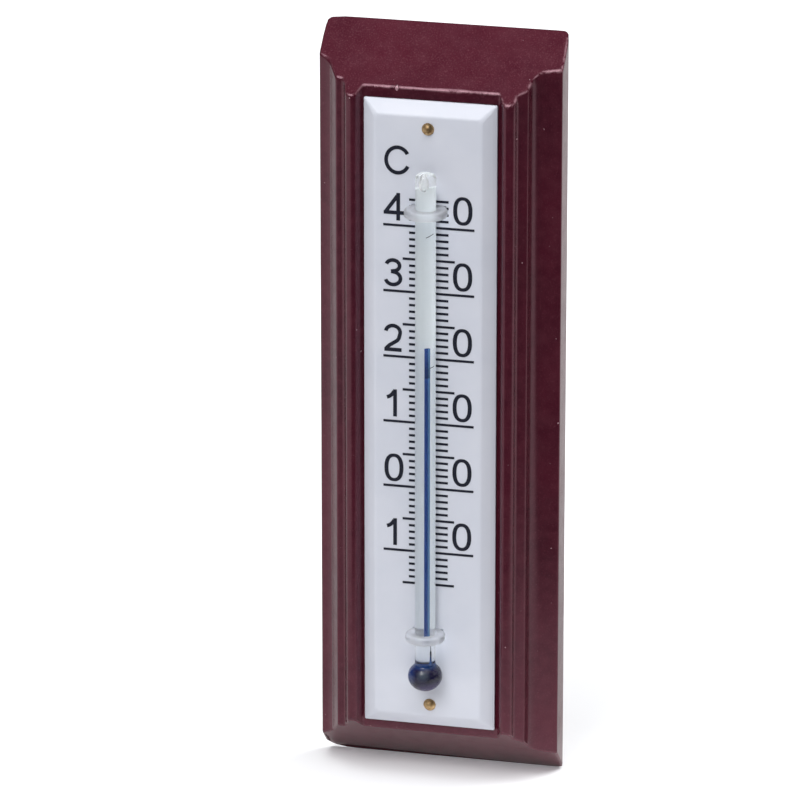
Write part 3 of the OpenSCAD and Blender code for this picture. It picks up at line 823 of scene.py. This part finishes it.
def thread_pieces():
    """The spirit thread, and its upper end, which is attached to the column head."""
    top = thread_high.z / MM
    bottom = BASE + THREAD_END
    overlap = 0.1
    stretch = [(THREAD_R, z) for z in np.linspace(bottom, top + overlap, 40)]
    verts, faces = turned(stretch, BORE_X, BORE_Y, 24)
    thread = finish_piece("spirit_thread", verts, faces, THREAD, "blue_spirit", even=False)
    thread.visible_shadow = False
    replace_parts(thread, "spirit_column")
    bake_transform(thread)

    low, high = (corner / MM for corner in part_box("spirit_head"))
    below_rim = 0.03
    meniscus_rings = (0.93, 0.8, 0.6, 0.4, 0.2, 0.05)
    column = [(THREAD_R, low.z), (THREAD_R, high.z - below_rim)]
    column += [(THREAD_R * share, high.z - MENISCUS_DIP * (1 - share * share)) for share in meniscus_rings]
    verts, faces = turned(column, BORE_X, BORE_Y, 24)
    head = finish_piece("spirit_top", verts, faces, THREAD, "blue_spirit", even=False)
    head.visible_shadow = False
    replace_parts(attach(head, "column_head"), "spirit_head")


def collar_pieces():
    """The two clear discs, with round rims."""
    around = 96
    rim = (COLLAR_ROUND, COLLAR_ROUND)
    for node, name in (("upper_collar", "collar_above"), ("lower_collar", "collar_below")):
        low, high = (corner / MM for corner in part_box(node))
        radius = (high.x - low.x) / 2
        rim_at = radius - COLLAR_ROUND
        inner = TUBE_R + COLLAR_GAP
        section = [(inner, low.z), (rim_at - END_RING, low.z)]
        section += arc((rim_at, low.z + COLLAR_ROUND), rim, -88, 0, 7)
        section += arc((rim_at, high.z - COLLAR_ROUND), rim, 0, 88, 7)
        section += [(rim_at - END_RING, high.z), (inner, high.z)]
        verts, faces = turned(section, STEM_X, STEM_Y, around)
        faces = ring_faces(len(section), around, closed_ends=False)
        last = (len(section) - 1) * around
        faces += [(last + s, last + (s + 1) % around, (s + 1) % around, s) for s in range(around)]
        piece = finish_piece(name, verts, faces, COLLAR, "clear_plastic")
        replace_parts(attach(piece, "root"), node)


def softened_copy(node, name, width, material):
    """A copy of a CAD node whose sharp edges have a small round."""
    source = frame["nodes"][node]
    mesh = source.data.copy()
    shape = bmesh.new()
    shape.from_mesh(mesh)
    bmesh.ops.remove_doubles(shape, verts=shape.verts, dist=0.001 * MM)
    bmesh.ops.dissolve_limit(
        shape, angle_limit=math.radians(0.5), verts=shape.verts, edges=shape.edges,
        use_dissolve_boundaries=False
    )
    sharp = [
        edge for edge in shape.edges
        if len(edge.link_faces) == 2 and edge.calc_face_angle() > math.radians(35)
    ]
    bmesh.ops.bevel(
        shape, geom=sharp, offset=width * MM, segments=3, profile=0.5, affect="EDGES", clamp_overlap=True
    )
    shape.to_mesh(mesh)
    shape.free()
    piece = bpy.data.objects.new(name, mesh)
    bpy.context.scene.collection.objects.link(piece)
    mesh.materials.clear()
    mesh.materials.append(material)
    mesh.polygons.foreach_set("use_smooth", [True] * len(mesh.polygons))
    piece.modifiers.new("even_normals", "WEIGHTED_NORMAL").weight = 50
    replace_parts(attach(piece, "root"), node)


def dress(node, material):
    """Gives a CAD node that keeps its own shape its material."""
    mesh = frame["nodes"][node].data
    mesh.materials.clear()
    mesh.materials.append(material)


board_piece()
plate_piece()
stem_piece()
stripe_piece()
pool_piece()
thread_pieces()
collar_pieces()
softened_copy("hanger_plate", "hanger_steel", 0.12, ZINC)
for printed in ("graduation_marks", "scale_numerals", "unit_letter", "calibration_marks"):
    dress(printed, INK)
dress("plate_pins", BRASS)
dress("hanger_tacks", ZINC)


# Floor, light and camera

def floor():
    """White paper in a dim room. It reaches a little way in front of the object, and further on the left."""
    half = 3.0
    under_foot = (0, -8)
    foot_reach = (75, 32, 10)
    front_edge = (-130, -65)
    left_edge = (-25, 25)
    height = board_low.z + 0.05 * MM
    mesh = bpy.data.meshes.new("floor")
    corners = [(-half, -half, height), (half, -half, height), (half, half, height), (-half, half, height)]
    mesh.from_pydata(corners, [], [(0, 1, 2, 3)])
    plane = bpy.data.objects.new("floor", mesh)
    bpy.context.scene.collection.objects.link(plane)
    made = Shader("floor_paper")
    made.set(Roughness=0.9, Specular_IOR_Level=0.0, Emission_Strength=1.0)
    black, faint, soft = (0.0, 0.0, 0.0, 1), (0.05, 0.05, 0.06, 1), (0.13, 0.13, 0.14, 1)
    dim_room, paper, paper_painted_lighter_at_base = (0.5, 0.5, 0.51, 1), (0.7, 0.7, 0.7, 1), (0.88, 0.88, 0.88, 1)
    # A painted pool of light round the object's foot: the paper is lighter there, and glows for the camera
    # and in reflections.
    painted_light_at_base = made.spot((*under_foot, height / MM), foot_reach, 0.5)
    far = made.mix(made.ray("Is Glossy Ray"), dim_room, faint)
    near = made.mix(painted_light_at_base, paper, paper_painted_lighter_at_base)
    on_paper = made.maths("MAXIMUM", made.along(BACK, *front_edge), made.along((-1, 0.5, 0), *left_edge))
    colour = made.mix(on_paper, far, near)
    made.feed(made.mix(made.ray("Is Camera Ray"), colour, (0.98, 0.99, 1.0, 1)), "Base Color")
    # Painted glow near the foot, seen in reflections, and for the camera over a faint even glow.
    mirrored = made.mix(painted_light_at_base, black, (0.13, 0.13, 0.13, 1))
    painted_glow = made.mix(made.ray("Is Glossy Ray"), black, mirrored)
    seen = made.mix(painted_light_at_base, faint, soft)
    made.feed(made.mix(made.ray("Is Camera Ray"), painted_glow, seen), "Emission Color")
    mesh.materials.append(made.material)


def towards(azimuth, elevation):
    """A direction, from turns in degrees: azimuth from the front to the right, elevation upwards."""
    side, up = math.radians(azimuth), math.radians(elevation)
    return Vector((math.sin(side) * math.cos(up), -math.cos(side) * math.cos(up), math.sin(up)))


def lamp(name, strength, azimuth, elevation, spread, mirrored):
    source = bpy.data.lights.new(name, "SUN")
    source.energy = strength
    source.angle = math.radians(spread)
    piece = bpy.data.objects.new(name, source)
    piece.visible_glossy = mirrored
    bpy.context.scene.collection.objects.link(piece)
    piece.rotation_euler = towards(azimuth, elevation).to_track_quat("Z", "Y").to_euler()


def world():
    """A white studio that lights dimly. What is mirrored is white behind and at the sides, dark in front."""
    studio = bpy.data.worlds.new("studio")
    studio.use_nodes = True
    tree = studio.node_tree
    sky = tree.nodes["Background"]
    place = tree.nodes.new("ShaderNodeTexCoord").outputs["Generated"]
    path = tree.nodes.new("ShaderNodeLightPath")

    def maths(operation, first, second):
        made = tree.nodes.new("ShaderNodeMath")
        made.operation = operation
        for socket, value in zip(made.inputs, (first, second)):
            if isinstance(value, float):
                socket.default_value = value
            else:
                tree.links.new(value, socket)
        return made.outputs["Value"]

    def facing(direction, start, end, strength):
        """From 0 to the strength as a ray turns to the direction, between two cosines."""
        dot = tree.nodes.new("ShaderNodeVectorMath")
        dot.operation = "DOT_PRODUCT"
        dot.inputs[1].default_value = direction
        tree.links.new(place, dot.inputs[0])
        share = tree.nodes.new("ShaderNodeMapRange")
        share.interpolation_type = "SMOOTHSTEP"
        share.inputs["From Min"].default_value = start
        share.inputs["From Max"].default_value = end
        share.inputs["To Max"].default_value = strength
        tree.links.new(dot.outputs["Value"], share.inputs["Value"])
        return share.outputs["Result"]

    behind = facing((0, 1, 0), -0.95, 0.05, 0.95)
    glint = facing(towards(97, 26), 0.95, 0.98, 11.0)
    mirrored = maths("ADD", maths("ADD", behind, glint), 0.05)
    ambient = 0.33
    through = maths("MAXIMUM", path.outputs["Is Camera Ray"], path.outputs["Is Transmission Ray"])
    glossy = maths("MULTIPLY", path.outputs["Is Glossy Ray"], maths("SUBTRACT", mirrored, ambient))
    seen = maths("MULTIPLY", through, 1.0 - ambient)
    tree.links.new(maths("ADD", maths("ADD", glossy, seen), ambient), sky.inputs["Strength"])
    bpy.context.scene.world = studio


def camera():
    lens = bpy.data.cameras.new("camera")
    lens.sensor_width = SENSOR_MM
    lens.lens = FOCAL_PIXELS / IMAGE_PIXELS * SENSOR_MM
    lens.clip_start = 0.01
    eye = bpy.data.objects.new("camera", lens)
    bpy.context.scene.collection.objects.link(eye)
    right = Vector((math.cos(VIEW_AZIMUTH), math.sin(VIEW_AZIMUTH), 0))
    back = Vector((
        math.sin(VIEW_AZIMUTH) * math.cos(VIEW_ELEVATION),
        -math.cos(VIEW_AZIMUTH) * math.cos(VIEW_ELEVATION),
        math.sin(VIEW_ELEVATION),
    ))
    up = back.cross(right)
    aim = Vector((0, 0, board_low.z + AIM_HEIGHT))
    place = aim + back * CAMERA_DISTANCE - right * AIM_RIGHT - up * AIM_UP
    eye.matrix_world = Matrix.Translation(place) @ Matrix((right, up, back)).transposed().to_4x4()
    bpy.context.scene.camera = eye


floor()
world()
lamp("ceiling", 2.36, azimuth=40, elevation=80, spread=60, mirrored=False)
lamp("key", 1.25, azimuth=-20, elevation=44, spread=30, mirrored=True)
lamp("rim", 1.5, azimuth=125, elevation=38, spread=30, mirrored=False)
camera()
bpy.context.scene.view_settings.view_transform = "Standard"
